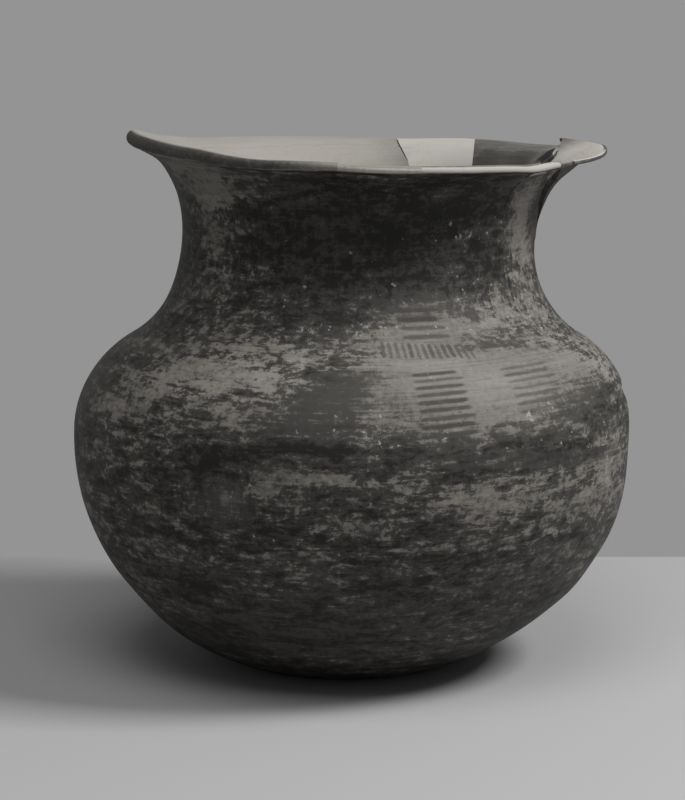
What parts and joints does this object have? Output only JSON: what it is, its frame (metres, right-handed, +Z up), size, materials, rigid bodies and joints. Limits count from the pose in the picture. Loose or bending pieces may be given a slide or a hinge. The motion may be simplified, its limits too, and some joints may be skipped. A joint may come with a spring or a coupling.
{
  "type": "painted pottery jar",
  "caption": "Round-bellied hand-built pottery jar with a short neck and a wide flared rim, broken and mended with glued sherds and plaster fills.",
  "frame": {"origin": "centre of the overall box in plan, on the plane that the flat base stands on", "axes": "+Z up through the mouth, -Y towards the painted front that the picture shows, +X to the viewer's right"},
  "size_m": [0.3001, 0.3, 0.2863],
  "materials": {
    "slipped_clay": "matt, worn dark slip over buff clay",
    "slipped_sherd": "matt, worn dark slip",
    "buff_sherd": "matt, bare buff clay",
    "white_plaster": "matt white plaster",
    "toned_plaster": "matt plaster toned to the slip"
  },
  "bodies": {
    "root": {"vessel_body": "slipped_clay", "rim_left_fill": "toned_plaster", "rim_front_sherd": "slipped_sherd", "rim_front_fill": "white_plaster", "rim_front_right_fill": "white_plaster", "rim_right_sherd": "slipped_sherd", "rim_back_right_sherd": "slipped_sherd", "rim_back_fill": "white_plaster", "rim_back_left_sherd": "buff_sherd", "wall_plug": "toned_plaster"}
  },
  "joints": []
}
